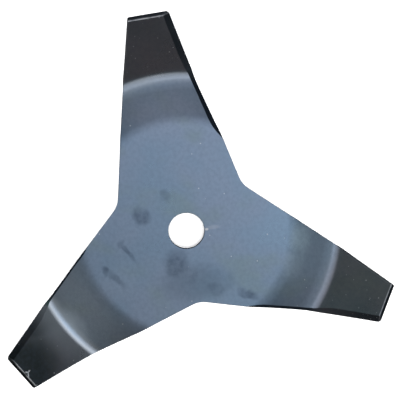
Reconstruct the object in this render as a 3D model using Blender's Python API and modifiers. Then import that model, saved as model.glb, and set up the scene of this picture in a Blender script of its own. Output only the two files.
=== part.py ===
"""Brush cutter blade: three tapered arms pressed and ground from one flat steel plate.

The blade lies with its hub level. The axis of its bore is Z, the upper face of the hub is z = 0,
and the first arm points along +X. Each arm dips below the hub and then rises to its tip.

It is made as the real one is: a blank is cut from plate, the cutting edges are ground on it, and
a press then forms the dip and the rise of its arms.
"""

import math

import bmesh
import bpy
from mathutils import Matrix, Vector

# Plate and bore
PLATE_THICKNESS = 0.0040
BORE_DIAMETER = 0.0254
BORE_CHAMFER = 0.0004

# Arms, as the finished blade measures from above
ARM_COUNT = 3
NOTCH_RADIUS = 0.0513
NOTCH_FILLET_RADIUS = 0.0170
HUB_BEND_AT = 0.0760
TIP_BEND_AT = 0.1080
TIP_AT = 0.1495
HALF_WIDTH_AT_HUB_BEND = 0.0328
BACK_HALF_WIDTH_AT_TIP_BEND = 0.0260
GROUND_HALF_WIDTH_AT_TIP_BEND = 0.0252
HALF_WIDTH_AT_TIP = 0.0140
BACK_TIP_CORNER_RADIUS = 0.0016
GROUND_TIP_CORNER_RADIUS = 0.0030

# Pressed form, with both bend radii in the middle of the plate
DIP_ANGLE = math.radians(17.5)
RISE_ANGLE = math.radians(31.5)
HUB_BEND_RADIUS = 0.0230
TIP_BEND_RADIUS = 0.0130

# Ground edges, on the upper face along the clockwise side and the tip of each arm
GRIND_START_AT = 0.0595
GRIND_RUN_IN_RADIUS = 0.0270
GRIND_ANGLE = math.radians(38.0)
GRIND_WIDTH_ON_DIP = 0.0028
GRIND_WIDTH_AT_TIP_BEND = 0.0022
GRIND_WIDTH_ON_RISE = 0.0044
TIP_GRIND_ANGLE = math.radians(66.0)
TIP_GRIND_WIDTH = 0.0014

# Fineness of the curved faces
FACETS_AROUND = 144
BEND_PER_RING = math.radians(5.0)
STRAIGHT_PER_RING = 0.0070
STEPS_PER_FILLET = 6
GRIND_STEP = 0.0020

# Cutters stand this much clear of the faces that they don't cut
CLEARANCE = 0.0030

# Points this near to each other are one, and lengths are found to within this much
WELD_DISTANCE = 0.000001
PRECISION = 0.000000001

SMOOTH_BELOW = math.radians(20.0)


def straight_between_bends():
    """Length along the plate from the end of the hub bend to the start of the tip bend."""
    whole = (TIP_BEND_AT - HUB_BEND_AT) / math.cos(DIP_ANGLE)
    hub_tangent = HUB_BEND_RADIUS * math.tan(DIP_ANGLE / 2)
    tip_tangent = TIP_BEND_RADIUS * math.tan((DIP_ANGLE + RISE_ANGLE) / 2)
    return whole - hub_tangent - tip_tangent


def plate_runs():
    """The pressed section as runs of plate from the axis outwards, each with its length and its turn."""
    hub_tangent = HUB_BEND_RADIUS * math.tan(DIP_ANGLE / 2)
    return [
        (HUB_BEND_AT - hub_tangent, 0.0),
        (HUB_BEND_RADIUS * DIP_ANGLE, -DIP_ANGLE),
        (straight_between_bends(), 0.0),
        (TIP_BEND_RADIUS * (DIP_ANGLE + RISE_ANGLE), DIP_ANGLE + RISE_ANGLE),
        (math.inf, 0.0),
    ]


def pressed_section(run):
    """Radius, height and slope of the middle of the plate, this far out along it from the axis."""
    radius, height, slope = 0.0, 0.0, 0.0
    for length, turn in plate_runs():
        step = min(run, length)
        if turn:
            bend = length / turn
            turned = slope + step / bend
            radius += bend * (math.sin(turned) - math.sin(slope))
            height += bend * (math.cos(slope) - math.cos(turned))
            slope = turned
        else:
            radius += step * math.cos(slope)
            height += step * math.sin(slope)
        run -= step
        if run <= 0:
            break
    return radius, height, slope


def run_to(radius):
    """Length along the plate from the axis to where the pressed plate is this far out."""
    low, high = 0.0, 2 * radius
    while high - low > PRECISION:
        middle = (low + high) / 2
        if pressed_section(middle)[0] < radius:
            low = middle
        else:
            high = middle
    return (low + high) / 2


def on_blank(x, y):
    """Where a point of the finished outline lies on the flat blank."""
    radius = math.hypot(x, y)
    return Vector((x, y)) * (run_to(radius) / radius)


def filleted(before, corner, after, radius):
    """Points of the arc that rounds a corner."""
    to_before = (before - corner).normalized()
    to_after = (after - corner).normalized()
    half = to_before.angle(to_after) / 2
    centre = corner + (to_before + to_after).normalized() * (radius / math.sin(half))
    first = corner + to_before * (radius / math.tan(half)) - centre
    sweep = first.angle_signed(corner + to_after * (radius / math.tan(half)) - centre)
    points = []
    for step in range(STEPS_PER_FILLET + 1):
        points.append(centre + Matrix.Rotation(-sweep * step / STEPS_PER_FILLET, 2) @ first)
    return points


def arm_corners():
    """Corners of one arm on the blank, from the notch on its clockwise side to its counterclockwise edge."""
    notch = math.pi / ARM_COUNT
    corners = [
        (NOTCH_RADIUS * math.cos(notch), -NOTCH_RADIUS * math.sin(notch), NOTCH_FILLET_RADIUS),
        (HUB_BEND_AT, -HALF_WIDTH_AT_HUB_BEND, 0.0),
        (TIP_BEND_AT, -GROUND_HALF_WIDTH_AT_TIP_BEND, 0.0),
        (TIP_AT, -HALF_WIDTH_AT_TIP, GROUND_TIP_CORNER_RADIUS),
        (TIP_AT, HALF_WIDTH_AT_TIP, BACK_TIP_CORNER_RADIUS),
        (TIP_BEND_AT, BACK_HALF_WIDTH_AT_TIP_BEND, 0.0),
        (HUB_BEND_AT, HALF_WIDTH_AT_HUB_BEND, 0.0),
    ]
    return [(on_blank(x, y), fillet) for x, y, fillet in corners]


def blank_outline():
    """Outline of the blank, counterclockwise, with its notches and tip corners rounded."""
    corners = []
    for arm in range(ARM_COUNT):
        turn = Matrix.Rotation(math.tau * arm / ARM_COUNT, 2)
        corners += [(turn @ point, fillet) for point, fillet in arm_corners()]
    points = []
    for index, (point, fillet) in enumerate(corners):
        before = corners[index - 1][0]
        after = corners[(index + 1) % len(corners)][0]
        if fillet:
            points += filleted(before, point, after, fillet)
        else:
            points.append(point)
    return points


def new_object(name, data, collection):
    thing = bpy.data.objects.new(name, data)
    collection.objects.link(thing)
    return thing


def evaluated_mesh(thing, name):
    """Mesh that an object's curve or modifiers make, with its loose caps welded."""
    bpy.context.view_layer.update()
    graph = bpy.context.evaluated_depsgraph_get()
    mesh = bpy.data.meshes.new_from_object(thing.evaluated_get(graph))
    mesh.name = name
    work = bmesh.new()
    work.from_mesh(mesh)
    bmesh.ops.remove_doubles(work, verts=work.verts, dist=WELD_DISTANCE)
    bmesh.ops.recalc_face_normals(work, faces=work.faces)
    work.to_mesh(mesh)
    work.free()
    return mesh


def cutter_from_curve(curve_object, name, collection):
    """Mesh cutter in place of a curve."""
    cutter = new_object(name, evaluated_mesh(curve_object, name), collection)
    cutter.matrix_world = curve_object.matrix_world.copy()
    bpy.data.objects.remove(curve_object)
    return cutter


def poly_curve(name, points, closed, dimensions):
    curve = bpy.data.curves.new(name, "CURVE")
    curve.dimensions = dimensions
    spline = curve.splines.new("POLY")
    spline.points.add(len(points) - 1)
    for target, point in zip(spline.points, points):
        target.co = (*point.to_3d(), 1.0)
    spline.use_cyclic_u = closed
    return curve


def outline_cutter(collection):
    """Upright prism on the blank's outline, which stands clear of both faces of the plate."""
    curve = poly_curve("outline", blank_outline(), True, "2D")
    curve.fill_mode = "BOTH"
    curve.extrude = PLATE_THICKNESS / 2 + CLEARANCE
    outline = new_object("outline_curve", curve, collection)
    outline.location.z = -PLATE_THICKNESS / 2
    return cutter_from_curve(outline, "outline", collection)


def edge_and_grind_width(along):
    """Half the arm's finished width this far along it, and the width that is ground there."""
    hub_bend = (HUB_BEND_AT, HALF_WIDTH_AT_HUB_BEND, GRIND_WIDTH_ON_DIP)
    tip_bend = (TIP_BEND_AT, GROUND_HALF_WIDTH_AT_TIP_BEND, GRIND_WIDTH_AT_TIP_BEND)
    tip = (TIP_AT, HALF_WIDTH_AT_TIP, GRIND_WIDTH_ON_RISE)
    near, far = (hub_bend, tip_bend) if along < TIP_BEND_AT else (tip_bend, tip)
    part = (along - near[0]) / (far[0] - near[0])
    edge = near[1] + part * (far[1] - near[1])
    width = near[2] + part * (far[2] - near[2])
    return edge, width


def grind_stations():
    """Where the grind line has its points: evenly along the hub, then halfway between the plate's rings."""
    first_bend = plate_runs()[0][0]
    start = GRIND_START_AT - CLEARANCE
    stations = []
    along = start
    while along < first_bend:
        stations.append(along)
        along += GRIND_STEP
    rings = [run for run in ring_runs() if run > max(start, first_bend)]
    for near, far in zip(rings, rings[1:]):
        stations.append(pressed_section((near + far) / 2)[0])
    return stations


def grind_line():
    """Line on the upper face of the blank where the grinding of the first arm begins, from hub to tip.

    It comes in across the edge on the arc that the wheel leaves, then follows the edge past the tip.
    """
    run_in = math.sqrt(2 * GRIND_RUN_IN_RADIUS * GRIND_WIDTH_ON_DIP)
    points = []
    for along in grind_stations():
        edge, width = edge_and_grind_width(along)
        short = max(0.0, GRIND_START_AT + run_in - along)
        points.append(on_blank(along, -(edge - width + short**2 / (2 * GRIND_RUN_IN_RADIUS))))
    return points


def grind_section(collection):
    """Section of what the wheel removes: above a slope that falls outwards through the grind line."""
    reach = PLATE_THICKNESS / math.tan(GRIND_ANGLE) + 2 * CLEARANCE
    rise = CLEARANCE * math.tan(GRIND_ANGLE)
    top = rise + CLEARANCE
    corners = [(-CLEARANCE, rise), (reach, -reach * math.tan(GRIND_ANGLE)), (reach, top), (-CLEARANCE, top)]
    curve = poly_curve("grind_section", [Vector(corner) for corner in corners], True, "2D")
    return new_object("grind_section", curve, collection)


def grind_cutter(collection):
    """Wedge swept along the grind line of the first arm."""
    curve = poly_curve("grind", grind_line(), False, "3D")
    curve.twist_mode = "Z_UP"
    curve.bevel_mode = "OBJECT"
    curve.bevel_object = grind_section(collection)
    curve.use_fill_caps = True
    sweep = new_object("grind_curve", curve, collection)
    cutter = cutter_from_curve(sweep, "grind", collection)
    bpy.data.objects.remove(curve.bevel_object)
    return cutter


def tip_cutter(collection):
    """Block whose underside lies on the slope that is ground across the end of the first arm."""
    side = 2 * (HALF_WIDTH_AT_TIP + CLEARANCE)
    grind_line_at = Matrix.Translation((run_to(TIP_AT) - TIP_GRIND_WIDTH, 0.0, 0.0))
    slope = Matrix.Rotation(TIP_GRIND_ANGLE, 4, "Y")
    place = grind_line_at @ slope @ Matrix.Translation((0.0, 0.0, side / 2))
    mesh = bpy.data.meshes.new("tip")
    work = bmesh.new()
    bmesh.ops.create_cube(work, size=side, matrix=place)
    work.to_mesh(mesh)
    work.free()
    return new_object("tip", mesh, collection)


def ring_runs():
    """Distances from the axis at which the plate needs a ring of edges, so that it can bend there."""
    hub, *arm_runs = plate_runs()
    runs = [BORE_DIAMETER / 2 + BORE_CHAMFER, hub[0]]
    rim = run_to(TIP_AT + HALF_WIDTH_AT_TIP)
    for length, turn in arm_runs:
        start = runs[-1]
        length = min(length, rim - start)
        steps = math.ceil(max(abs(turn) / BEND_PER_RING, length / STRAIGHT_PER_RING))
        runs += [start + length * (step + 1) / steps for step in range(steps)]
    return runs


def turned_plate(collection):
    """Flat disc with its bore, turned from a section whose points become the rings."""
    bore = BORE_DIAMETER / 2
    top = [(run, 0.0) for run in ring_runs()]
    bottom = [(run, -PLATE_THICKNESS) for run in reversed(ring_runs())]
    wall = [(bore, -PLATE_THICKNESS + BORE_CHAMFER), (bore, -BORE_CHAMFER)]
    section = [Vector((run, 0.0, height)) for run, height in top + bottom + wall]
    count = len(section)
    mesh = bpy.data.meshes.new("plate")
    mesh.from_pydata(section, [(index, (index + 1) % count) for index in range(count)], [])
    plate = new_object("plate", mesh, collection)
    turn = plate.modifiers.new("turn", "SCREW")
    turn.steps = FACETS_AROUND
    turn.render_steps = FACETS_AROUND
    turn.use_merge_vertices = True
    turn.merge_threshold = WELD_DISTANCE
    return plate


def cut(target, cutter, operation):
    boolean = target.modifiers.new(cutter.name, "BOOLEAN")
    boolean.operation = operation
    boolean.object = cutter
    boolean.solver = "EXACT"


def for_each_arm(cutter, collection):
    """The first arm's cutter, and a copy of it turned to each other arm."""
    cutters = [cutter]
    for arm in range(1, ARM_COUNT):
        copy = new_object(f"{cutter.name}_{arm + 1}", cutter.data, collection)
        copy.rotation_euler.z = math.tau * arm / ARM_COUNT
        cutters.append(copy)
    return cutters


def press(mesh):
    """Forms the dip and rise of the arms, with the plate's thickness kept square to its slope."""
    for vertex in mesh.vertices:
        run = math.hypot(vertex.co.x, vertex.co.y)
        from_middle = vertex.co.z + PLATE_THICKNESS / 2
        radius, height, slope = pressed_section(run)
        radius -= from_middle * math.sin(slope)
        vertex.co.x *= radius / run
        vertex.co.y *= radius / run
        vertex.co.z = height + from_middle * math.cos(slope) - PLATE_THICKNESS / 2


def make_blade(collection, cutters):
    plate = turned_plate(cutters)
    cut(plate, outline_cutter(cutters), "INTERSECT")
    for cutter in for_each_arm(grind_cutter(cutters), cutters):
        cut(plate, cutter, "DIFFERENCE")
    for cutter in for_each_arm(tip_cutter(cutters), cutters):
        cut(plate, cutter, "DIFFERENCE")
    mesh = evaluated_mesh(plate, "blade")
    work = bmesh.new()
    work.from_mesh(mesh)
    bmesh.ops.triangulate(work, faces=work.faces, quad_method="BEAUTY", ngon_method="BEAUTY")
    work.to_mesh(mesh)
    work.free()
    press(mesh)
    mesh.shade_smooth()
    mesh.set_sharp_from_angle(angle=SMOOTH_BELOW)
    mesh.materials.append(blued_steel())
    return new_object("blade", mesh, collection)


def blued_steel():
    """Dark blue-grey finish of hardened and tempered plate."""
    material = bpy.data.materials.new("blued_steel")
    material.use_nodes = True
    surface = material.node_tree.nodes["Principled BSDF"]
    surface.inputs["Base Color"].default_value = (0.10, 0.13, 0.19, 1.0)
    surface.inputs["Roughness"].default_value = 0.38
    surface.inputs["Metallic"].default_value = 0.9
    return material


def main():
    for thing in list(bpy.data.objects):
        bpy.data.objects.remove(thing)
    blade_collection = bpy.data.collections.new("brush_cutter_blade")
    cutter_collection = bpy.data.collections.new("cutters")
    bpy.context.scene.collection.children.link(blade_collection)
    bpy.context.scene.collection.children.link(cutter_collection)
    make_blade(blade_collection, cutter_collection)
    for helper in cutter_collection.objects:
        helper.hide_render = True
        helper.display_type = "WIRE"


main()
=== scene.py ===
# %% [markdown]
# # A brush cutter blade, pressed and ground from one plate
#
# The real blade is one piece of hardened steel, 300 mm across and 4 mm thick, with three arms. A blank is
# cut from plate, its cutting edges are ground, and a press bends each arm down and then up to its tip.
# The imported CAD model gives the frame, the box and the place of everything, so it is loaded first.

# %% Load the frame
import math

import bmesh
import bpy
from mathutils import Matrix, Vector, noise


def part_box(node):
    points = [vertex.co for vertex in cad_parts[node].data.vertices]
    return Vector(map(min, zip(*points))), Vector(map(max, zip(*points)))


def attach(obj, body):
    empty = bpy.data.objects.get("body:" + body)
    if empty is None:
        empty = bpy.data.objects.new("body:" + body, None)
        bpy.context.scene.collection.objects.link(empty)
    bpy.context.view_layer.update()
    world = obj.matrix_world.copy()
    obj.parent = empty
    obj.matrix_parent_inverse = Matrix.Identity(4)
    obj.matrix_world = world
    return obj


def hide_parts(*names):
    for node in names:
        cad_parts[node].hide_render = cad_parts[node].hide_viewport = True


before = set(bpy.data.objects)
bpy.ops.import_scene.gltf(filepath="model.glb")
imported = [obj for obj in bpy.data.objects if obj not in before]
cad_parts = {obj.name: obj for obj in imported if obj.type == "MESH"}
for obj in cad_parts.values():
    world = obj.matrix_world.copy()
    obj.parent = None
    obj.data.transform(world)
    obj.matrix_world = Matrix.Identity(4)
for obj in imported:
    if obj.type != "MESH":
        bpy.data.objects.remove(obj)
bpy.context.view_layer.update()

cad_low, cad_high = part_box("blade")
print("CAD box in mm", [round(1000 * side, 1) for side in cad_high - cad_low])

# %% [markdown]
# ## Sizes
#
# Metres, in the frame of the CAD model: Z is the axis of the bore, z = 0 is the upper face of the hub,
# and the first arm points along +X. Widths and places are those of the finished blade from above. An arm
# is ground on its clockwise side, where y is negative. The other side is its back.

# %% Sizes of the plate and the arms
MM = 0.001
THICKNESS = 4.0 * MM
BORE_RADIUS = 12.7 * MM
ARM_COUNT = 3
ARM_SECTOR = math.tau / ARM_COUNT

NOTCH_AT = 51.3 * MM
NOTCH_FILLET = 17.0 * MM
HUB_BEND_AT = 76.0 * MM
TIP_BEND_AT = 109.5 * MM
SHOULDER_AT = 108.0 * MM
TIP_AT = 149.45 * MM
HALF_WIDTH_AT_HUB_BEND = 32.8 * MM
HALF_WIDTH_AT_TIP = 14.0 * MM
BACK_HALF_WIDTH_AT_SHOULDER = 26.0 * MM
BACK_CORNER = 1.6 * MM
GROUND_CORNER = 3.0 * MM

DIP = math.radians(16.9)
RISE = math.radians(31.5)
HUB_BEND_RADIUS = 35.0 * MM
EASED_TURN = math.radians(8.0)
EASED_RADIUS = 55.0 * MM
TIP_BEND_RADIUS = 12.0 * MM
print(ARM_COUNT, "arms of", round(1000 * THICKNESS, 1), "mm plate, out to", round(1000 * TIP_AT, 1), "mm")

# %% [markdown]
# ## The press
#
# The creases of the real blade are arcs round its bore, because the die is round. A bend modifier makes
# straight creases only, so the press is written as what it does: one section, made of straight runs and
# bends, tells how far out, how high and how steep the middle of the plate is after so much of its length.
# The second bend begins gently and ends tightly. Its highlight shows that: the light comes up slowly on
# the side of the hub, and stops at once on the side of the tip.

# %% Finding a value by halving
CLOSE_ENOUGH = 1e-9


def narrowed_down(low, high, is_short, precision=CLOSE_ENOUGH):
    """The value between low and high up to which is_short holds."""
    while high - low > precision:
        middle = (low + high) / 2
        if is_short(middle):
            low = middle
        else:
            high = middle
    return low


# %% The pressed section
def plate_runs():
    """Runs of plate from the axis outwards, each with its length and its turn."""
    hub_tangent = HUB_BEND_RADIUS * math.tan(DIP / 2)
    tight_turn = DIP + RISE - EASED_TURN
    eased_tangent = EASED_RADIUS * math.tan(EASED_TURN / 2)
    shared_tangent = eased_tangent + TIP_BEND_RADIUS * math.tan(tight_turn / 2)
    tip_tangent = eased_tangent + shared_tangent * math.sin(tight_turn) / math.sin(DIP + RISE)
    between = (TIP_BEND_AT - HUB_BEND_AT) / math.cos(DIP) - hub_tangent - tip_tangent
    return [
        (HUB_BEND_AT - hub_tangent, 0.0),
        (HUB_BEND_RADIUS * DIP, -DIP),
        (between, 0.0),
        (EASED_RADIUS * EASED_TURN, EASED_TURN),
        (TIP_BEND_RADIUS * tight_turn, tight_turn),
        (math.inf, 0.0),
    ]


def pressed_section(run):
    """Radius, height and slope of the middle of the plate, this far along it from the axis."""
    radius, height, slope = 0.0, 0.0, 0.0
    for length, turn in RUNS:
        step = min(run, length)
        if turn:
            bend = length / turn
            turned = slope + step / bend
            radius += bend * (math.sin(turned) - math.sin(slope))
            height += bend * (math.cos(slope) - math.cos(turned))
            slope = turned
        else:
            radius += step * math.cos(slope)
            height += step * math.sin(slope)
        run -= step
        if run <= 0:
            break
    return radius, height, slope


def run_to(radius):
    """Length along the plate to where the pressed plate is this far out."""
    return narrowed_down(0.0, 2 * radius, lambda run: pressed_section(run)[0] < radius)


def on_blank(x, y):
    """Where a point of the finished outline lies on the flat blank."""
    radius = math.hypot(x, y)
    return Vector((x, y)) * (run_to(radius) / radius)


RUNS = plate_runs()
HUB_BEND_FROM = RUNS[0][0]
HUB_BEND_TO = HUB_BEND_FROM + RUNS[1][0]
TIP_BEND_FROM = HUB_BEND_TO + RUNS[2][0]
TIP_BEND_TO = TIP_BEND_FROM + RUNS[3][0] + RUNS[4][0]
print("plate runs in mm", [round(1000 * length, 2) for length, turn in RUNS[:-1]])
print("tip height in mm", round(1000 * pressed_section(run_to(TIP_AT))[1], 2))

# %% [markdown]
# ## The outline of one arm
#
# Each side of an arm runs from the middle of a notch, past the two bends, to a rounded corner of the tip.
# The three arms of the real blade aren't quite alike, because their edges are ground by hand: the wheel
# took more from one than from another. What differs is kept with the arm, and all else is shared.

# %% What differs from arm to arm
# In millimetres: half the width on the ground side at the shoulder, then the width of the ground slope on
# the dip, at the second bend and on the rise.
ARMS = {
    "first": {"turn": 0.0, "half_width": 24.7, "dip": 4.5, "bend": 3.5, "rise": 4.6},
    "second": {"turn": ARM_SECTOR, "half_width": 25.2, "dip": 1.6, "bend": 1.8, "rise": 4.4},
    "third": {"turn": -ARM_SECTOR, "half_width": 25.8, "dip": 3.3, "bend": 2.8, "rise": 4.8},
}
print("half widths on the ground side in mm", {name: arm["half_width"] for name, arm in ARMS.items()})

# %% The two sides of an arm
FILLET_STEPS = 8


def rounded(before, corner, after, radius):
    """Points of the arc that rounds a corner."""
    to_before = (before - corner).normalized()
    to_after = (after - corner).normalized()
    half = to_before.angle(to_after) / 2
    centre = corner + (to_before + to_after).normalized() * (radius / math.sin(half))
    first = corner + to_before * (radius / math.tan(half)) - centre
    sweep = first.angle_signed(corner + to_after * (radius / math.tan(half)) - centre)
    turns = [-sweep * step / FILLET_STEPS for step in range(FILLET_STEPS + 1)]
    return [centre + Matrix.Rotation(turn, 2) @ first for turn in turns]


def side_corners(side, arm):
    """Blank corners of one side, from notch to tip. Side is -1 for the ground side and 1 for the back."""
    at_shoulder = BACK_HALF_WIDTH_AT_SHOULDER if side > 0 else arm["half_width"] * MM
    notch = Vector((NOTCH_AT * math.cos(ARM_SECTOR / 2), side * NOTCH_AT * math.sin(ARM_SECTOR / 2)))
    return [
        notch,
        on_blank(HUB_BEND_AT, side * HALF_WIDTH_AT_HUB_BEND),
        on_blank(SHOULDER_AT, side * at_shoulder),
        on_blank(TIP_AT, side * HALF_WIDTH_AT_TIP),
    ]


def side_line(side, arm):
    """Points of one side with the notch and the tip corner rounded."""
    notch, hub_corner, shoulder, tip_corner = side_corners(side, arm)
    mirror = Matrix.Rotation(side * ARM_SECTOR, 2)
    beyond_notch = mirror @ Vector((hub_corner.x, -hub_corner.y))
    notch_arc = rounded(beyond_notch, notch, hub_corner, NOTCH_FILLET)[FILLET_STEPS // 2:]
    corner = BACK_CORNER if side > 0 else GROUND_CORNER
    other_tip = Vector((tip_corner.x, -tip_corner.y))
    return notch_arc + [hub_corner, shoulder] + rounded(shoulder, tip_corner, other_tip, corner)


for arm in ARMS.values():
    arm["lines"] = {side: side_line(side, arm) for side in (-1, 1)}
NOTCH_FLOOR = ARMS["first"]["lines"][1][0].length
TIP_END = ARMS["first"]["lines"][1][-1].x
print("floor of the notch in mm", round(1000 * NOTCH_FLOOR, 2))
print("end of the blank in mm", round(1000 * TIP_END, 2))

# %% [markdown]
# ## Rows and columns
#
# The arm is modelled on a grid that is laid out as a map of the blank: x is the distance out along the
# plate, y is the angle about the bore, z is the height above the blank's upper face. A row is an arc
# round the bore, so that a bend can follow it, and towards the tip the rows straighten to its square end.
# Rows lie close together in the bends, beside the notch and on the ground end, and further apart elsewhere.

# %% Where the rows lie
# Vertices closer than TOUCHING are one, and a share as small as HAIR makes no difference. The last three
# are in millimetres: past the floor of the notch, and twice back from the end of the tip.
TIP_GRIND = 1.4 * MM
TOUCHING = 0.005 * MM
HAIR = 1e-6
BORE_ROW = 1.0 * MM
HUB_STEP = 3.5 * MM
FLAT_STEP = 2.0 * MM
HUB_BEND_STEP = 0.8 * MM
TIP_BEND_STEP = 0.6 * MM
LAST_FLAT = 3.2 * MM
BEYOND_NOTCH = (0.25, 0.8, 1.7, 3.0, 4.7, 6.8, 9.2, 11.8, 14.6, 17.4)
BEFORE_TIP_GRIND = (2.6, 2.0)
ON_TIP_GRIND = (1.0, 0.65, 0.35, 0.12, 0.0)


def spaced(start, stop, step):
    """Evenly spaced values after start up to stop, no further apart than step."""
    count = math.ceil((stop - start) / step - HAIR)
    return [start + (stop - start) * (index + 1) / count for index in range(count)]


rows = [BORE_RADIUS, BORE_RADIUS + BORE_ROW]
rows += spaced(rows[-1], NOTCH_FLOOR, HUB_STEP)
rows += [NOTCH_FLOOR + out * MM for out in BEYOND_NOTCH]
rows += spaced(rows[-1], HUB_BEND_FROM, FLAT_STEP)
rows += spaced(HUB_BEND_FROM, HUB_BEND_TO, HUB_BEND_STEP)
rows += spaced(HUB_BEND_TO, TIP_BEND_FROM, FLAT_STEP)
rows += spaced(TIP_BEND_FROM, TIP_BEND_TO, TIP_BEND_STEP)
rows += spaced(TIP_BEND_TO, TIP_END - LAST_FLAT, FLAT_STEP)
rows += [TIP_END - back * MM for back in BEFORE_TIP_GRIND] + [TIP_END - TIP_GRIND]
rows += [TIP_END - back * MM for back in ON_TIP_GRIND]
COLUMNS = 44
print(len(rows), "rows and", COLUMNS, "columns")

# %% The shape of a row and its ends
STRAIGHT_BEFORE_TIP = 8.0 * MM


def straightness(out):
    """0 where a row is an arc round the bore, 1 where it is square across the arm."""
    part = (out - TIP_BEND_TO) / (TIP_END - STRAIGHT_BEFORE_TIP - TIP_BEND_TO)
    part = min(1.0, max(0.0, part))
    return part * part * (3 - 2 * part)


def run_on_row(out, angle):
    """Distance from the axis of a point of the row, on the blank."""
    return out * (1 + straightness(out) * (1 / math.cos(angle) - 1))


def row_of(point):
    """The row that a point of the blank lies on."""
    angle = math.atan2(point.y, point.x)
    return narrowed_down(0.0, point.length, lambda out: run_on_row(out, angle) < point.length)


def end_of_row(line, out):
    """Angle at which this row meets a side of the arm."""
    if out < NOTCH_FLOOR + TOUCHING:
        return ARM_SECTOR / 2
    before, after = line[-2], line[-1]
    for near, far in zip(line, line[1:]):
        if row_of(near) <= out < row_of(far):
            before, after = near, far
    share = narrowed_down(0.0, 1.0, lambda part: row_of(before.lerp(after, part)) < out, HAIR)
    end = before.lerp(after, share)
    return abs(math.atan2(end.y, end.x))


for name, arm in ARMS.items():
    ends = [round(math.degrees(end_of_row(arm["lines"][-1], out * MM)), 1) for out in (60, 90, 120, 150)]
    print(name, "arm, angle of its ground side in degrees", ends)

# %% [markdown]
# ## The grinding
#
# A wheel takes the upper corner off the clockwise side of each arm at 38 degrees. It comes in across the
# edge on its own arc, near the root of the arm, and runs out past the tip, whose end is ground back too.
# The line where the slope begins wavers by a tenth or two of a millimetre, as hand grinding does.

# %% Width of the ground slope
GRIND_ANGLE = math.radians(38.0)
TIP_GRIND_ANGLE = math.radians(66.0)
GRIND_FROM = 59.5 * MM
WIDENS_OVER = 14.0 * MM
WHEEL_ARC = 27.0 * MM
WAVER = 0.16 * MM
WAVER_LENGTH = 9.0 * MM
NARROWEST = 0.3 * MM


def ground_width(arm, along):
    """Width of the ground slope this far along the arm."""
    if along < GRIND_FROM:
        return 0.0
    places = [
        (HUB_BEND_AT, arm["dip"]),
        (TIP_BEND_AT, arm["bend"]),
        (TIP_BEND_AT + WIDENS_OVER, arm["rise"]),
        (TIP_END, arm["rise"]),
    ]
    width = arm["dip"]
    for (near, near_width), (far, far_width) in zip(places, places[1:]):
        if near < along <= far:
            width = near_width + (far_width - near_width) * (along - near) / (far - near)
    waver = WAVER * noise.noise(Vector((along / WAVER_LENGTH, arm["turn"], 0.0)))
    full = width * MM + waver
    run_in = math.sqrt(2 * WHEEL_ARC * full)
    short = max(0.0, GRIND_FROM + run_in - along)
    return max(0.0, full - short**2 / (2 * WHEEL_ARC))


for name, arm in ARMS.items():
    widths = [round(1000 * ground_width(arm, along * MM), 1) for along in (60, 65, 75, 90, 108, 125, 145)]
    print(name, "arm, ground width in mm", widths)

# %% [markdown]
# ## Moving the rows of a grid
#
# An operator acts on whatever is selected, so each step first picks its own vertices by their place. A
# plain grid waits a metre away with its rows evenly spaced, and one row after another is moved in.

# %% Picking and placing vertices
WAITING = 1.0


def pick(work, wanted):
    """Selects the vertices that are wanted, and nothing else."""
    bpy.ops.mesh.select_all(action="DESELECT")
    for vertex in work.verts:
        vertex.select = wanted(vertex.co)
    work.select_flush_mode()


def put_row(work, waits_at, out, units, angles):
    """Moves part of a row of the unit grid to its distance out, and draws it across to its angles."""
    near = 0.25 / len(rows)
    pick(work, lambda place: abs(place.x - waits_at) < near and units[0] - near < place.y < units[1] + near)
    middle = (units[0] + units[1]) / 2
    wider = (angles[1] - angles[0]) / (units[1] - units[0])
    bpy.ops.transform.resize(value=(1, wider, 1), center_override=(waits_at, middle, 0))
    bpy.ops.transform.translate(value=(out - waits_at, (angles[0] + angles[1]) / 2 - middle, 0))


# %% [markdown]
# ## Drawing the grid out to an arm
#
# Each row is scaled across to the width that the arm has at its distance out. The first three columns are
# the ground band. They are as wide as the slope, so that the line where it begins is a line of edges, and
# on the hub, where nothing is ground, they are as wide as all the others.

# %% One arm on the map of the blank
BAND_COLUMNS = 3
BAND_UNITS = (-0.5, -0.5 + (BAND_COLUMNS - 1) / COLUMNS)
FACE_UNITS = (-0.5 + BAND_COLUMNS / COLUMNS, 0.5)
BAND_NARROW_AT = GRIND_FROM * 1.15
SETTLING_ROUNDS = 6


def edge_beside(arm, side, along):
    """Distance of a side from the middle of the arm, with no corner rounded, this far along the blank."""
    corners = [(corner.x, abs(corner.y)) for corner in side_corners(side, arm)]
    for (near, near_edge), (far, far_edge) in zip(corners, corners[1:]):
        if along <= far or far == corners[-1][0]:
            return near_edge + (far_edge - near_edge) * (along - near) / (far - near)


def band_angle(arm, out, ground_end, back_end):
    """Angle between the ground side of a row and the line where its slope begins."""
    even = (ground_end + back_end) * BAND_COLUMNS / COLUMNS
    if out < NOTCH_FLOOR + TOUCHING:
        return even
    angle = ground_end
    for _ in range(SETTLING_ROUNDS):
        run = run_on_row(out, angle)
        width = max(NARROWEST, ground_width(arm, run * math.cos(angle)))
        angle = math.asin((edge_beside(arm, -1, run * math.cos(angle)) - width) / run)
    narrow = max(ground_end - angle, NARROWEST / out)
    evenness = max(0.0, 1 - (out - NOTCH_FLOOR) / (BAND_NARROW_AT - NOTCH_FLOOR))
    return max(narrow, even * evenness)


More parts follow.
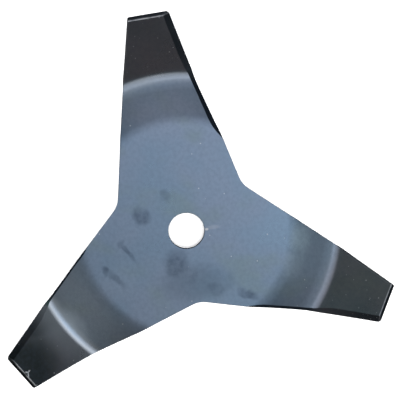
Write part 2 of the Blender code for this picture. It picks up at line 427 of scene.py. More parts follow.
def lay_out(arm):
    """The upper face of one arm, as a map: x is the distance out, y the angle about the bore."""
    middle = WAITING + 0.5
    bpy.ops.mesh.primitive_grid_add(
        x_subdivisions=len(rows) - 1, y_subdivisions=COLUMNS, size=1.0, location=(middle, 0, 0)
    )
    bpy.ops.object.transform_apply(location=True, rotation=False, scale=False)
    piece = bpy.context.active_object
    bpy.ops.object.mode_set(mode="EDIT")
    work = bmesh.from_edit_mesh(piece.data)
    for index, out in enumerate(rows):
        waits_at = WAITING + index / (len(rows) - 1)
        ground_end = end_of_row(arm["lines"][-1], out)
        back_end = end_of_row(arm["lines"][1], out)
        band = band_angle(arm, out, ground_end, back_end)
        band_stop = band * (BAND_COLUMNS - 1) / BAND_COLUMNS - ground_end
        put_row(work, waits_at, out, BAND_UNITS, (-ground_end, band_stop))
        put_row(work, waits_at, out, FACE_UNITS, (band - ground_end, back_end))
    return piece, work


# %% [markdown]
# ## Grinding, thickness and pressing
#
# The wheel lowers what lies outside the grind line, and what it touched has a second finish. A bisect would
# cut straight, but this slope starts on an arc and wavers, so each vertex is lowered to where the wheel
# leaves it. The whole face is then extruded down by the plate's thickness, and its underside is scaled flat
# in z. The walls between two arms are left out, since the arms are one plate. Only then is the blank rolled
# round its bore and pressed, as the real one is, so the ground slopes go through both bends with the plate.

# %% The wheel
# There are two finishes: the plate's own, and one for faces that the wheel lowered by more than SEEN_DEPTH.
PLATE, GROUND = 0, 1
SEEN_DEPTH = 0.02 * MM


def cut_depth(arm, along, across):
    """How far the wheel lowers a point of the upper face of the blank."""
    depth = (along - (TIP_END - TIP_GRIND)) * math.tan(TIP_GRIND_ANGLE)
    if across < 0:
        width = ground_width(arm, along)
        inside = edge_beside(arm, -1, along) + across
        if width > 0:
            depth = max(depth, (width - inside) * math.tan(GRIND_ANGLE))
    return max(0.0, depth)


def along_and_across(place):
    """Distance along the arm and across it, on the blank, of a point of the map."""
    run = run_on_row(place.x, place.y)
    return run * math.cos(place.y), run * math.sin(place.y)


def grind(arm, work):
    """Lowers the face to where the wheel leaves it, and gives what the wheel touched its own finish."""
    for vertex in work.verts:
        vertex.co.z = -cut_depth(arm, *along_and_across(vertex.co))
    for face in work.faces:
        depth = cut_depth(arm, *along_and_across(face.calc_center_median()))
        face.material_index = GROUND if depth > SEEN_DEPTH else PLATE


# %% The thickness
# A vertex below UNDERSIDE belongs to the lower face, and angles closer than SAME_ANGLE are equal.
UNDERSIDE = -0.99 * THICKNESS
SAME_ANGLE = 1e-5


def thicken(work):
    """Extrudes the upper face down to a flat underside, and opens the walls towards the other arms."""
    bpy.ops.mesh.select_all(action="SELECT")
    bpy.ops.mesh.extrude_region_move(TRANSFORM_OT_translate={"value": (0, 0, -THICKNESS)})
    bpy.ops.transform.resize(value=(1, 1, 0), center_override=(0, 0, -THICKNESS))
    for face in work.faces:
        if all(vertex.co.z < UNDERSIDE for vertex in face.verts):
            face.material_index = PLATE
    bpy.ops.mesh.select_mode(type="FACE")
    bpy.ops.mesh.select_all(action="DESELECT")
    for face in work.faces:
        face.select = all(abs(abs(vertex.co.y) - ARM_SECTOR / 2) < SAME_ANGLE for vertex in face.verts)
    bpy.ops.mesh.delete(type="FACE")
    bpy.ops.mesh.select_mode(type="VERT")


# %% [markdown]
# ## How far each edge is rounded
#
# No edge of the real blade is quite sharp. The cutting edge is the sharpest, the ridge above the ground
# end is a little worn, and the back edge of the tip is rolled over, as a sheared edge is. A bevel can
# round them all at once when each edge carries its own share of the width as a weight.

# %% Weights for the bevel
# A vertex above UPPER_FACE was left by the wheel, and one below LOWERED was ground. A wall is a face whose
# normal rises by less than UPRIGHT.
EDGE_ROUND, CUTTING_ROUND, RIDGE_ROUND, SHEARED_ROUND = 0.55, 0.25, 0.7, 1.0
UPPER_FACE = -0.01 * MM
LOWERED = -0.1 * MM
UPRIGHT = 0.02
SAME_PLACE = 0.001 * MM


def mark_edges(work):
    """Notes how much each sharp edge will be rounded, as a share of the rounding."""
    weights = work.edges.layers.float.new("bevel_weight_edge")
    for edge in work.edges:
        if len(edge.link_faces) < 2:
            continue
        places = [vertex.co for vertex in edge.verts]
        walls = sum(abs(face.normal.z) < UPRIGHT for face in edge.link_faces)
        on_top = all(place.z > UPPER_FACE for place in places)
        ridge = on_top and all(abs(place.x - (TIP_END - TIP_GRIND)) < SAME_PLACE for place in places)
        if walls == 1:
            lowered = any(UNDERSIDE < place.z < LOWERED for place in places)
            rolled = on_top and all(place.y > 0 and place.x > TIP_BEND_TO for place in places)
            edge[weights] = CUTTING_ROUND if lowered else SHEARED_ROUND if rolled else EDGE_ROUND
        elif ridge:
            edge[weights] = RIDGE_ROUND


# %% The map for the finish, and the press
# On the map the arms lie this far apart, in metres, which is more than the width of one.
ARM_SPACING = 0.2


def map_blank(order, work):
    """Gives every face corner its place on the flat blank, in metres, with the arms side by side."""
    layer = work.loops.layers.uv.new("blank")
    for face in work.faces:
        for loop in face.loops:
            along, across = along_and_across(loop.vert.co)
            loop[layer].uv = (along, across + order * ARM_SPACING)


def press(arm, work):
    """Rolls the map round the bore and forms the dip and the rise, with the thickness square to the slope."""
    for vertex in work.verts:
        out, angle, height = vertex.co
        from_middle = height + THICKNESS / 2
        radius, middle, slope = pressed_section(run_on_row(out, angle))
        radius -= from_middle * math.sin(slope)
        turn = angle + arm["turn"]
        up = middle + from_middle * math.cos(slope) - THICKNESS / 2
        vertex.co = (radius * math.cos(turn), radius * math.sin(turn), up)


# %% Make the three arms
pieces = []
for order, (name, arm) in enumerate(ARMS.items()):
    piece, work = lay_out(arm)
    piece.name = name + "_arm"
    grind(arm, work)
    thicken(work)
    mark_edges(work)
    map_blank(order, work)
    press(arm, work)
    bmesh.update_edit_mesh(piece.data)
    bpy.ops.object.mode_set(mode="OBJECT")
    pieces.append(piece)
    print(name, "arm:", len(piece.data.polygons), "faces")

# %% [markdown]
# ## One blade
#
# The three arms are joined, and the seams between them are merged, so that the hub is one face. Then each
# sharp edge is rounded by a little, because that is where a real edge catches the light.

# %% Join and merge
bpy.ops.object.select_all(action="DESELECT")
for piece in pieces:
    piece.select_set(True)
bpy.context.view_layer.objects.active = pieces[0]
bpy.ops.object.join()
blade = bpy.context.active_object
blade.name = "pressed_blade"
bpy.ops.object.mode_set(mode="EDIT")
bpy.ops.mesh.select_all(action="SELECT")
bpy.ops.mesh.remove_doubles(threshold=TOUCHING)
bpy.ops.mesh.normals_make_consistent(inside=False)
bpy.ops.object.mode_set(mode="OBJECT")
print("one mesh of", len(blade.data.polygons), "faces")

# %% Round the edges and smooth the faces
ROUNDING = 0.45 * MM
ROUNDING_SEGMENTS = 3
SMOOTH_BELOW = math.radians(32)

rounding = blade.modifiers.new("rounding", "BEVEL")
rounding.limit_method = "WEIGHT"
rounding.width = ROUNDING
rounding.segments = ROUNDING_SEGMENTS
rounding.use_clamp_overlap = False
bpy.ops.object.modifier_apply(modifier=rounding.name)
bpy.ops.object.shade_smooth_by_angle(angle=SMOOTH_BELOW)
even = blade.modifiers.new("even_normals", "WEIGHTED_NORMAL")
even.keep_sharp = True
bpy.ops.object.modifier_apply(modifier=even.name)

# %% Measure the blade
check = bmesh.new()
check.from_mesh(blade.data)
print("open edges", sum(len(edge.link_faces) != 2 for edge in check.edges), "of", len(check.edges))
print("volume in cm3", round(check.calc_volume() * 1e6, 2))
print("triangles", sum(len(face.verts) - 2 for face in check.faces))
check.free()

# %% [markdown]
# ## Colours and nodes
#
# Colours are given as they look on a screen, and one function turns them to the linear values that the
# renderer works with. One more adds a node with its settings and its links.

# %% Colour and node helpers
def colour(code):
    """Linear colour, with full alpha, of an sRGB hex value."""
    channels = [int(code[place:place + 2], 16) / 255 for place in (1, 3, 5)]
    linear = [c / 12.92 if c <= 0.04045 else ((c + 0.055) / 1.055) ** 2.4 for c in channels]
    return (*linear, 1.0)


def add(tree, kind, inputs=(), **settings):
    """Adds a node. Inputs pairs each socket's name or number with a value, or with a socket to link."""
    node = tree.nodes.new(kind)
    for name, value in settings.items():
        setattr(node, name, value)
    for name, value in dict(inputs).items():
        if isinstance(value, bpy.types.NodeSocket):
            tree.links.new(value, node.inputs[name])
        else:
            node.inputs[name].default_value = value
    return node


print("middle grey on the screen is", round(colour("#808080")[0], 3), "in linear light")

# %% [markdown]
# ## Patterns
#
# All that is seen on the surface is a mask from 0 to 1 that lays one colour over another. A mask starts from
# noise, from cells or from the distance to a place. Where two masks meet, either they weaken each other or
# the stronger one is taken. Each helper is one such step, so that a finish further down reads as a list.

# %% Putting masks and colours together
def laid_over(tree, film, cover, tint):
    """Colour of a film with a tint laid over it, as far as the cover says."""
    return add(tree, "ShaderNodeMix", {0: cover, 6: film, 7: tint}, data_type="RGBA").outputs[2]


def both(tree, *masks):
    """Mask that is full only where each of these is. A number among them weakens it everywhere."""
    product = masks[0]
    for mask in masks[1:]:
        product = add(tree, "ShaderNodeMath", {0: product, 1: mask}, operation="MULTIPLY").outputs[0]
    return product


def either(tree, first, second):
    """The stronger of two masks at each place."""
    return add(tree, "ShaderNodeMath", {0: first, 1: second}, operation="MAXIMUM").outputs[0]


def shifted(tree, value, mask, amount):
    """Value that is changed by this amount where the mask is full."""
    terms = {0: mask, 1: amount, 2: value}
    return add(tree, "ShaderNodeMath", terms, operation="MULTIPLY_ADD").outputs[0]


def fade(tree, value, start, stop, low=0.0, high=1.0):
    """Goes smoothly from low to high while the value goes from start to stop."""
    limits = {"Value": value, "From Min": start, "From Max": stop, "To Min": low, "To Max": high}
    return add(tree, "ShaderNodeMapRange", limits, interpolation_type="SMOOTHSTEP").outputs["Result"]


# %% Distances and clouds
# A cloud takes up about half a period of the noise.
CLOUD_SHARE = 0.5


def away_from(tree, value, centre):
    """How far a value is from this one, on either side."""
    gap = add(tree, "ShaderNodeMath", {0: value, 1: centre}, operation="SUBTRACT").outputs[0]
    return add(tree, "ShaderNodeMath", {0: gap}, operation="ABSOLUTE").outputs[0]


def beside_axis(tree, where):
    """Distance from the upright axis of the coordinates, whatever the height."""
    flat = add(tree, "ShaderNodeVectorMath", {0: where, 1: (1, 1, 0)}, operation="MULTIPLY").outputs[0]
    return add(tree, "ShaderNodeVectorMath", {0: flat}, operation="LENGTH").outputs["Value"]


def clouds(tree, where, size, detail=3.0):
    """Noise whose clouds are about this large, in metres."""
    pattern = {"Vector": where, "Scale": CLOUD_SHARE / size, "Detail": detail}
    return add(tree, "ShaderNodeTexNoise", pattern).outputs[0]


def drawn_out(tree, where, turn, length, width):
    """Coordinates in which a round pattern is this long and this wide, turned about the bore's axis."""
    stretch = {"Vector": where, "Rotation": (0, 0, math.radians(turn)), "Scale": (length, width, 1.0)}
    return add(tree, "ShaderNodeMapping", stretch, vector_type="TEXTURE").outputs[0]


def ragged(tree, where, size, reach):
    """Coordinates that stray by up to this reach, so that the edge of a mark comes out ragged."""
    pattern = {"Vector": where, "Scale": CLOUD_SHARE / size, "Detail": 3.0}
    straying = add(tree, "ShaderNodeTexNoise", pattern).outputs["Color"]
    centred = {0: straying, 1: (2 * reach, 2 * reach, 0.0), 2: (-reach, -reach, 0.0)}
    shift = add(tree, "ShaderNodeVectorMath", centred, operation="MULTIPLY_ADD").outputs[0]
    return add(tree, "ShaderNodeVectorMath", {0: where, 1: shift}, operation="ADD").outputs[0]


# %% Single marks and specks
SOFT_MARK = 0.35


def blot(tree, where, place, turn, size, edge=SOFT_MARK):
    """Mask of an oval mark, with its place, length and width in millimetres.

    It is full from its middle out to the edge, a share of its reach, and fades from there to nothing.
    """
    spot = {"Vector": where, "Rotation": (0, 0, math.radians(turn))}
    spot["Location"] = (place[0] * MM, place[1] * MM, 0)
    spot["Scale"] = (size[0] * MM / 2, size[1] * MM / 2, 1.0)
    local = add(tree, "ShaderNodeMapping", spot, vector_type="TEXTURE").outputs[0]
    return fade(tree, beside_axis(tree, local), 1.0, edge)


def marks(tree, where, table, edge=SOFT_MARK):
    """The strongest mark of a table at each place."""
    strongest = 0.0
    for place, turn, size, strength in table:
        mark = blot(tree, where, place, turn, size, edge)
        strongest = either(tree, strongest, both(tree, mark, strength))
    return strongest


def specks(tree, where, spacing, size, share):
    """Mask of round specks of this size. Only this share of the cells that hold one shows it."""
    cells = add(tree, "ShaderNodeTexVoronoi", {"Vector": where, "Scale": 1 / spacing})
    dot = fade(tree, cells.outputs["Distance"], 0.5 * size / spacing, 0.2 * size / spacing)
    number = add(tree, "ShaderNodeSeparateColor", {0: cells.outputs["Color"]}).outputs[0]
    shown = add(tree, "ShaderNodeMath", {0: number, 1: share}, operation="LESS_THAN").outputs[0]
    return both(tree, dot, shown)


# %% What both finishes begin and end with
def begin_metal(name):
    """New material with its tree, and where a point is on the blade and on the flat blank."""
    material = bpy.data.materials.new(name)
    material.use_nodes = True
    tree = material.node_tree
    place = add(tree, "ShaderNodeTexCoord").outputs["Object"]
    blank = add(tree, "ShaderNodeUVMap", uv_map="blank").outputs[0]
    return material, tree, place, blank


def along_arm(tree, blank):
    """How far along its arm a point of the flat blank is."""
    return add(tree, "ShaderNodeSeparateXYZ", {0: blank}).outputs[0]


def finish_metal(tree, film, rough, height, strength, depth):
    """Gives the surface its colour, roughness and relief. Metallic is one number for all of it."""
    relief = {"Height": height, "Strength": strength, "Distance": depth}
    surface = tree.nodes["Principled BSDF"]
    surface.inputs["Metallic"].default_value = 1.0
    tree.links.new(film, surface.inputs["Base Color"])
    tree.links.new(rough, surface.inputs["Roughness"])
    tree.links.new(add(tree, "ShaderNodeBump", relief).outputs[0], surface.inputs["Normal"])


# %% [markdown]
# ## Where the blade is marked
#
# Smudges, stains and scratches lie where they happened to land, so they are listed one by one, and so are
# the painted highlights and painted shade. Each row of a table is one oval mark: its middle in millimetres
# from the bore, its turn in degrees, its length and width in millimetres, and its strength. The marks are
# few and simple, and noise makes their edges ragged.

# %% Smudges and stains
# Dull smudges of dried oil and fingers, most of them round the bore, where the blade is held.
SMUDGES = [
    ((15.4, 29.7), 30, (18, 15), 0.6),
    ((13.4, 33.0), 30, (7, 8), 0.3),
    ((-7.0, 43.6), 24, (23, 5), 0.55),
    ((-24.0, 54.5), 40, (27, 6), 0.5),
    ((-41.0, -22.0), 150, (22, 16), 0.22),
    ((-17.5, 61.0), 0, (9, 7), 0.7),
    ((-22.0, 11.0), 155, (28, 22), 0.6),
    ((-36.0, -2.0), 80, (70, 34), 0.22),
    ((-34.0, 1.0), 120, (16, 12), 0.35),
    ((-21.3, 11.5), 155, (24, 24), 0.35),
    ((-22.5, 17.0), 60, (10, 6), 0.35),
    ((-0.8, 46.8), 40, (6, 9), 0.35),
    ((-43.8, -12.8), 150, (14, 22), 0.4),
    ((-52.5, -35.0), 60, (20, 9), 0.6),
    ((27.6, 10.4), 20, (13, 9), 0.3),
]
# Darker patches, nearly black: painted shade over the whole tip of the second arm, which mirrors dark
# surroundings, and at one end of its second crease, and weak dark patches on the hub and the first tip.
DARK_PATCHES_AND_SHADE = [
    ((-76.0, 131.6), 120, (74, 90), 0.9),
    ((-46.0, 119.0), 115, (66, 32), 0.62),
    ((152.0, 6.0), 0, (40, 70), 0.15),
    ((-38.4, 4.3), 80, (60, 40), 0.16),
    ((-80.0, 86.0), 30, (36, 30), 0.45),
]
# Paler patches, where the dip of the third arm begins, and a trace at the root of the second arm.
PALE_PATCHES = [
    ((-20.5, -80.0), -105, (20, 34), 0.6),
    ((-37.0, -72.0), -118, (20, 30), 0.35),
    ((-25.8, 52.2), 116, (40, 36), 0.08),
]
print(len(SMUDGES), "smudges,", len(DARK_PATCHES_AND_SHADE), "thick and", len(PALE_PATCHES), "thin patches of oxide")

# %% Painted highlights and scratches
# Painted highlight along the second crease of each arm, strongest on the second arm.
SECOND_CREASE = (-55.0, 95.3)
CREASE_HIGHLIGHTS = [
    ((110.0, 0.0), 90, (110, 60), 0.2),
    (SECOND_CREASE, 30, (110, 60), 0.3),
    ((-55.0, -95.3), -30, (110, 60), 0.05),
]
# Painted highlight on the dip of the second arm, just before its crease.
PAINTED_GLOW = [
    ((-52.0, 97.0), 29, (62, 30), 0.75),
    ((-55.0, 96.0), 32, (44, 20), 1.0),
]
# Three short strokes that cross near the second tip, and a bright chip with a faint scrape by the bore,
# which is also a painted glint on the bore's rim.
SCRATCHES_AND_BORE_GLINT = [
    ((-74.9, 125.3), 65, (3.2, 1.2), 1.0),
    ((-74.8, 123.9), -53, (2.8, 1.1), 0.9),
    ((-76.8, 124.5), 0, (4.6, 1.1), 0.9),
    ((-1.4, -14.3), -93, (3.4, 2.4), 0.75),
    ((-0.8, -19.0), -93, (13, 4), 0.09),
]
print(len(CREASE_HIGHLIGHTS), "rubbed creases,", len(PAINTED_GLOW), "bloom marks and", len(SCRATCHES_AND_BORE_GLINT), "strokes")

# %% [markdown]
# ## Blued spring steel
#
# The plate is hardened spring steel with a thin blue-black oxide, left by the hot oil of the hardening
# bath. The oxide is smooth and a little cloudy, so the sheen is soft, and it turns browner and duller
# towards the tips, partly as painted shade. Handling has left dull smudges round the bore, and grit has
# nicked the arms bright. Painted highlights brighten the second creases, the dip before the second arm's
# crease, the ridges at the tip ends and the rim of the bore, and painted shade darkens the second tip.
# Metal keeps its default index of refraction, and its colour is that of its reflection. One function makes
# each layer, from the oxide up, and the last one puts them together.

# %% The oxide, with its browner dips and tips, partly painted shade
BROAD_CLOUDS = 26 * MM
GREEN_CLOUDS = 17 * MM
BROWN_CLOUDS = 11 * MM


def oxide_and_tip_shade(tree, place, along, broad):
    """Blue-grey oxide, clouded with a duller and a greener film, and browner on the dips and tips, partly as
    painted shade.
    """
    film = laid_over(tree, colour("#5b6d7e"), fade(tree, broad, 0.36, 0.64), colour("#637182"))
    green = clouds(tree, drawn_out(tree, place, 65, 1.6, 1.0), GREEN_CLOUDS)
    film = laid_over(tree, film, fade(tree, green, 0.5, 0.68, 0.0, 0.45), colour("#5b6c6c"))
    dips = both(tree, fade(tree, along, HUB_BEND_FROM - 4 * MM, HUB_BEND_TO + 6 * MM), 0.25)
    tips = fade(tree, along, TIP_BEND_FROM + 4 * MM, TIP_BEND_TO + 3 * MM)
    streaks = clouds(tree, drawn_out(tree, place, 20, 1.4, 1.0), BROWN_CLOUDS)
    # Browner film on the dips and tips: partly a heat tint, partly painted shade for the dark surroundings
    # that they mirror.
    tint_and_painted_shade = laid_over(tree, colour("#5f6666"), streaks, colour("#70686a"))
    return laid_over(tree, film, shifted(tree, dips, tips, 0.45), tint_and_painted_shade)


# %% Smudges and patches on the oxide
MOTTLE = 2.2 * MM
FINE_MOTTLE = 1.3 * MM


def smudged(tree, place, moved):
    """Mask of the smudges, which have ragged edges and a finer mottle inside."""
    mottle = fade(tree, clouds(tree, place, MOTTLE), 0.3, 0.7, 0.55, 1.0)
    return both(tree, marks(tree, moved, SMUDGES), mottle)


def stained(tree, film, smear, moved, fine):
    """The film with its smudges, its dark patches and painted shade, its paler patches, and its fine mottle.

    The real mottle is finer than a millimetre, and is drawn coarser here so as to show.
    """
    film = laid_over(tree, film, smear, colour("#323f4f"))
    # Painted shade on the second tip and the end of its crease, and weak dark patches elsewhere.
    film = laid_over(tree, film, marks(tree, moved, DARK_PATCHES_AND_SHADE), colour("#232b2b"))
    film = laid_over(tree, film, marks(tree, moved, PALE_PATCHES), colour("#798994"))
    return laid_over(tree, film, fade(tree, fine, 0.3, 0.75, 0.0, 0.22), colour("#46515f"))


# %% The painted highlight on the second crease
HARD_MARK = 0.6
SECOND_ARM_SHEEN = (110, 90)


def crease_highlight(tree, place, out):
    """Mask of the painted highlight on the second crease, and of the painted sheen beyond it on the second
    arm.
    """
    crest = fade(tree, away_from(tree, out, TIP_BEND_AT), 6 * MM, 0.5 * MM)
    line = both(tree, crest, marks(tree, place, CREASE_HIGHLIGHTS))
    begins = fade(tree, out, TIP_BEND_AT - 3.5 * MM, TIP_BEND_AT + 1.5 * MM)
    ends = fade(tree, out, TIP_BEND_AT + 20.5 * MM, TIP_BEND_AT + 2.5 * MM)
    second_arm = blot(tree, place, SECOND_CREASE, 30, SECOND_ARM_SHEEN, HARD_MARK)
    return either(tree, line, both(tree, begins, ends, second_arm, 0.55))


def glow_highlight(tree, moved, out):
    """Mask of the painted highlight before the crease, which fades all the way from its middle and stops at
    the crease.
    """
    return both(tree, marks(tree, moved, PAINTED_GLOW, 0.0), fade(tree, out, TIP_BEND_AT + 2.5 * MM, TIP_BEND_AT))


# %% Bare steel
NICK, NICK_SPACING = 1.2 * MM, 6.5 * MM
TIP_NICK, TIP_NICK_SPACING = 0.9 * MM, 3.4 * MM
RIDGE_MARK_WIDTHS = (0.55 * MM, 0.2 * MM)
WEAR_CLOUDS = 4 * MM


def nicked(tree, place, along):
    """Mask of the nicks that grit has left. On the tips, which do the cutting, they are closer together."""
    nicks = both(tree, specks(tree, place, NICK_SPACING, NICK, 0.4), 0.4)
    tip_nicks = specks(tree, place, TIP_NICK_SPACING, TIP_NICK, 0.6)
    at_tip = fade(tree, along, TIP_BEND_TO, TIP_BEND_TO + 8 * MM, 0.0, 0.5)
    return either(tree, nicks, both(tree, tip_nicks, at_tip))


def ridge_wear_and_highlight(tree, along, patches):
    """Mask of the ridge above the ground end of a tip, worn bare in patches and also a painted highlight."""
    ridge = fade(tree, away_from(tree, along, TIP_END - TIP_GRIND), *RIDGE_MARK_WIDTHS)
    return both(tree, ridge, fade(tree, patches, 0.38, 0.62, 0.1, 1.0), 0.7)


# %% Blued spring steel, hardened and tempered
def blued_plate():
    """Finish of the plate: soft sheen, blue-grey, duller in the smudges, with painted highlights and painted
    shade.
    """
    material, tree, place, blank = begin_metal("blued_spring_steel_plate")
    along = along_arm(tree, blank)
    moved = ragged(tree, place, 5 * MM, 3.5 * MM)
    broad = clouds(tree, place, BROAD_CLOUDS)
    fine = clouds(tree, place, FINE_MOTTLE, 4.0)
    out = beside_axis(tree, place)

    smear = smudged(tree, place, moved)
    film = stained(tree, oxide_and_tip_shade(tree, place, along, broad), smear, moved, fine)
    # Painted highlight on the second creases, and painted sheen beyond the second one.
    film = laid_over(tree, film, crease_highlight(tree, place, out), colour("#a9b1b8"))
    # Painted highlight that fades in towards the second crease.
    film = laid_over(tree, film, glow_highlight(tree, moved, out), colour("#8d9dac"))

    nicks = nicked(tree, place, along)
    # Ridge at the tip ends: worn bare in patches, and a painted highlight along it.
    ridge_wear_and_glint = ridge_wear_and_highlight(tree, along, clouds(tree, place, WEAR_CLOUDS))
    # Bare steel of nicks, strokes and worn ridges, with painted highlights on the bore's rim and along the
    # ridges.
    bare_steel_and_glints = either(tree, nicks, either(tree, marks(tree, place, SCRATCHES_AND_BORE_GLINT), ridge_wear_and_glint))
    film = laid_over(tree, film, bare_steel_and_glints, colour("#c3c7ca"))

    rough = shifted(tree, fade(tree, broad, 0.35, 0.65, 0.27, 0.33), smear, 0.10)
    rough = shifted(tree, rough, bare_steel_and_glints, 0.30)
    finish_metal(tree, film, rough, shifted(tree, fine, nicks, -0.8), 0.25, 0.02 * MM)
    return material


# %% [markdown]
# ## The ground edges
#
# The slopes are ground before the hardening, so the oxide covers them too. A grinding wheel leaves fine
# lines across the edge, and the oxide on a rough ground face is thicker and nearly black. The lines follow
# the edge round both bends, so they are drawn on the flat blank, where the edge is nearly straight.

# %% Ground edge, blackened in the same bath
LINE_SPACING = 0.6 * MM
LINE_LENGTH = 12 * MM
PIT, PIT_SPACING = 1.0 * MM, 2.6 * MM


def ground_lines(tree, blank):
    """Grinding lines across the edge. The real ones are too fine to show, and these are drawn coarser."""
    stretch = {"Vector": blank, "Scale": (LINE_SPACING, LINE_LENGTH, 1.0)}
    lines = add(tree, "ShaderNodeMapping", stretch, vector_type="TEXTURE").outputs[0]
    return add(tree, "ShaderNodeTexNoise", {"Vector": lines, "Scale": 0.5, "Detail": 2.0}).outputs[0]


def ground_steel():
    """Finish of the slopes: dark and dull, with grinding lines, pits of rust and grit, and a worn ridge with
    a painted highlight.
    """
    material, tree, place, blank = begin_metal("ground_and_blackened_steel_edge")
    along = along_arm(tree, blank)
    lines = ground_lines(tree, blank)
    patchy = clouds(tree, place, 5 * MM)
    film = laid_over(tree, colour("#465154"), fade(tree, patchy, 0.35, 0.65), colour("#5c6666"))
    film = laid_over(tree, film, fade(tree, lines, 0.35, 0.75, 0.0, 0.4), colour("#2a3033"))
    pits = specks(tree, place, PIT_SPACING, PIT, 0.5)
    film = laid_over(tree, film, both(tree, pits, 0.55), colour("#8b9194"))
    # Worn ridge, which is also a painted highlight.
    film = laid_over(tree, film, ridge_wear_and_highlight(tree, along, patchy), colour("#c3c7ca"))
    rough = fade(tree, patchy, 0.3, 0.7, 0.30, 0.40)
    finish_metal(tree, film, rough, shifted(tree, lines, pits, -0.7), 0.4, 0.03 * MM)
    return material


# %% Dress the blade
blade.data.materials.clear()
blade.data.materials.append(blued_plate())
blade.data.materials.append(ground_steel())
print("materials", [material.name for material in blade.data.materials])
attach(blade, "root")
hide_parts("blade")

# %% [markdown]
# ## Floor
#
# The blade lies on a plain white floor. A plane is enough, since nothing but its colour is seen. The blade
# is kept from mirroring it, because the steep slopes would turn pale, and in the photo they are nearly black.

# %% Floor, matt white paint
FLOOR_SIZE = 8.0

bpy.ops.object.select_all(action="DESELECT")
bpy.ops.mesh.primitive_plane_add(size=FLOOR_SIZE, location=(0, 0, cad_low.z))
floor = bpy.context.active_object
floor.name = "floor"
paint = bpy.data.materials.new("matt_white_floor_paint")
paint.use_nodes = True
paint.node_tree.nodes["Principled BSDF"].inputs["Base Color"].default_value = colour("#f4f4f4")
paint.node_tree.nodes["Principled BSDF"].inputs["Roughness"].default_value = 0.9
floor.data.materials.append(paint)
floor.visible_glossy = False
print("floor at", round(1000 * cad_low.z, 2), "mm")

# %% [markdown]
# ## Light
#
# Satin metal has little colour of its own: it shows what it faces, blurred. So each part of the blade has a
# soft round panel where it mirrors one to the camera. A broad one hangs over the hub. The dips lean
# outwards and mirror the panels beyond their own arms, and the tips face inwards and mirror weak ones on
# the far side of the bore. A crease turns through all the slopes between, and shows a narrow panel as a
# bright line. The panels are disc lamps, whose power follows from their size and how bright they look.

# %% A soft panel
SOFT_EDGE = (0.65, 1.0, 1.35)
DISC_GAP = 0.04


def panel(name, azimuth, lean, distance, spread, radiance, tint):
    """Soft-edged round panel that faces the hub.

    From the hub it is seen at this azimuth, this far from straight up, and this wide from its middle to its
    edge, all in degrees. The distance is in metres. The panel's edge is soft because it is three discs, one
    behind the other and each wider. They don't lie in one plane, where one would hide another.
    """
    turn, lean = math.radians(azimuth), math.radians(lean)
    way = Vector((math.sin(lean) * math.cos(turn), math.sin(lean) * math.sin(turn), math.cos(lean)))
    for order, share in enumerate(SOFT_EDGE):
        reach = distance + order * DISC_GAP
        light = bpy.data.lights.new(name, "AREA")
        light.shape = "DISK"
        light.size = 2 * reach * math.tan(math.radians(spread * share))
        light.energy = radiance / len(SOFT_EDGE) * math.pi * math.pi * (light.size / 2) ** 2
        light.color = colour(tint)[:3]
        lamp = bpy.data.objects.new(name, light)
        bpy.context.scene.collection.objects.link(lamp)
        lamp.location = way * reach
        lamp.rotation_mode = "QUATERNION"
        lamp.rotation_quaternion = way.to_track_quat("Z", "Y")


# %% Panels over the hub, the creases, the dips and the tips
# On the hub.
panel("overhead_panel", -25, 8, 1.5, 23.5, 1.66, "#fbfaff")
# On the second crease of each arm.
panel("first_narrow_panel", 180, 22, 1.4, 7, 1.5, "#fffaf6")
panel("second_narrow_panel", -60, 18, 1.4, 8, 0.75, "#fffaf6")
panel("third_narrow_panel", 60, 23, 1.4, 7, 0.4, "#fffaf6")
# On the first crease of two arms, since it is bright on those alone.
panel("first_crease_panel", 0, 15, 1.4, 5, 0.70, "#fbfaff")
panel("third_crease_panel", -120, 15, 1.4, 5, 1.15, "#fbfaff")
# On the dips.
panel("first_arm_panel", 0, 44, 1.4, 22, 0.84, "#fbfaff")
panel("second_arm_panel", 120, 44, 1.4, 25, 0.72, "#fff8f0")
panel("second_outer_panel", 120, 62, 1.4, 13, 0.40, "#fff8f0")
panel("third_arm_panel", -120, 38, 1.4, 22, 1.12, "#f8fdff")
# On the tips.
panel("first_tip_panel", 180, 62, 1.4, 14, 0.34, "#ffe6e0")
panel("second_tip_panel", -60, 64, 1.4, 13, 0.10, "#f4faff")
panel("third_tip_panel", 60, 54, 1.4, 14, 0.25, "#b8ffec")

# %% [markdown]
# ## Light for the floor and the background
#
# The panels alone would leave the floor grey. A wide sun from straight above brings it up to white. It is
# closed to glossy rays, and since the blade is all metal and shows nothing else, the sun doesn't reach it.
# The world is dim where the blade mirrors it, and white where the camera sees it past the floor.

# %% Sun and world
SUN_STRENGTH = 5.0
SUN_ANGLE = math.radians(50)
DIM_STRENGTH = 0.6

sun = bpy.data.lights.new("floor_light", "SUN")
sun.energy = SUN_STRENGTH
sun.angle = SUN_ANGLE
sun_lamp = bpy.data.objects.new("floor_light", sun)
bpy.context.scene.collection.objects.link(sun_lamp)
sun_lamp.visible_glossy = False

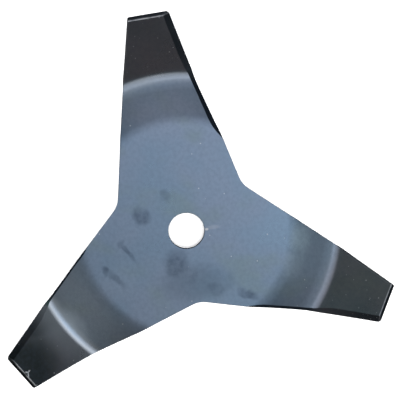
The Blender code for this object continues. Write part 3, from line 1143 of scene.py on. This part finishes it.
world = bpy.data.worlds.new("studio")
bpy.context.scene.world = world
world.use_nodes = True
tree = world.node_tree
tree.nodes.clear()
dim = add(tree, "ShaderNodeBackground", {"Color": colour("#4a5056"), "Strength": DIM_STRENGTH})
pale = add(tree, "ShaderNodeBackground", {"Color": colour("#ffffff"), "Strength": 1.0})
ray = add(tree, "ShaderNodeLightPath").outputs["Is Camera Ray"]
seen = add(tree, "ShaderNodeMixShader", {0: ray, 1: dim.outputs[0], 2: pale.outputs[0]})
add(tree, "ShaderNodeOutputWorld", {"Surface": seen.outputs[0]})
print("world", world.name, "with", len(tree.nodes), "nodes")

# %% [markdown]
# ## Camera
#
# The camera hangs almost straight over the hub, close enough for the arms to spread a little. Its place is
# worked out from how the photo shows the blade: the pixel that the hub's middle falls on, the size of a
# pixel in the plane of the hub, the way the first arm points, and two small tilts.

# %% Camera
IMAGE = 400
CAMERA_DISTANCE = 484.3 * MM
PIXEL = 0.70495 * MM
HUB_PIXEL = (186.45, 230.87)
ARM_IN_IMAGE = math.radians(100.25)
TILT_ABOUT_X = math.radians(3.73)
TILT_ABOUT_Y = math.radians(3.19)
SENSOR = 36.0

tilt = Matrix.Rotation(TILT_ABOUT_Y, 3, "Y") @ Matrix.Rotation(TILT_ABOUT_X, 3, "X")
to_view = tilt @ Matrix.Rotation(ARM_IN_IMAGE, 3, "Z")
hub_in_view = Vector((HUB_PIXEL[0] - IMAGE / 2, IMAGE / 2 - HUB_PIXEL[1], 0)) * PIXEL
camera_data = bpy.data.cameras.new("camera")
camera_data.sensor_width = SENSOR
camera_data.lens = SENSOR / IMAGE * CAMERA_DISTANCE / PIXEL
camera = bpy.data.objects.new("camera", camera_data)
bpy.context.scene.collection.objects.link(camera)
place = to_view.transposed() @ (Vector((0, 0, CAMERA_DISTANCE)) - hub_in_view)
camera.matrix_world = Matrix.LocRotScale(place, to_view.transposed().to_quaternion(), None)
bpy.context.scene.camera = camera
bpy.context.scene.view_settings.view_transform = "Standard"
print("camera at", [round(1000 * side, 1) for side in place], "mm, lens", round(camera_data.lens, 1), "mm")
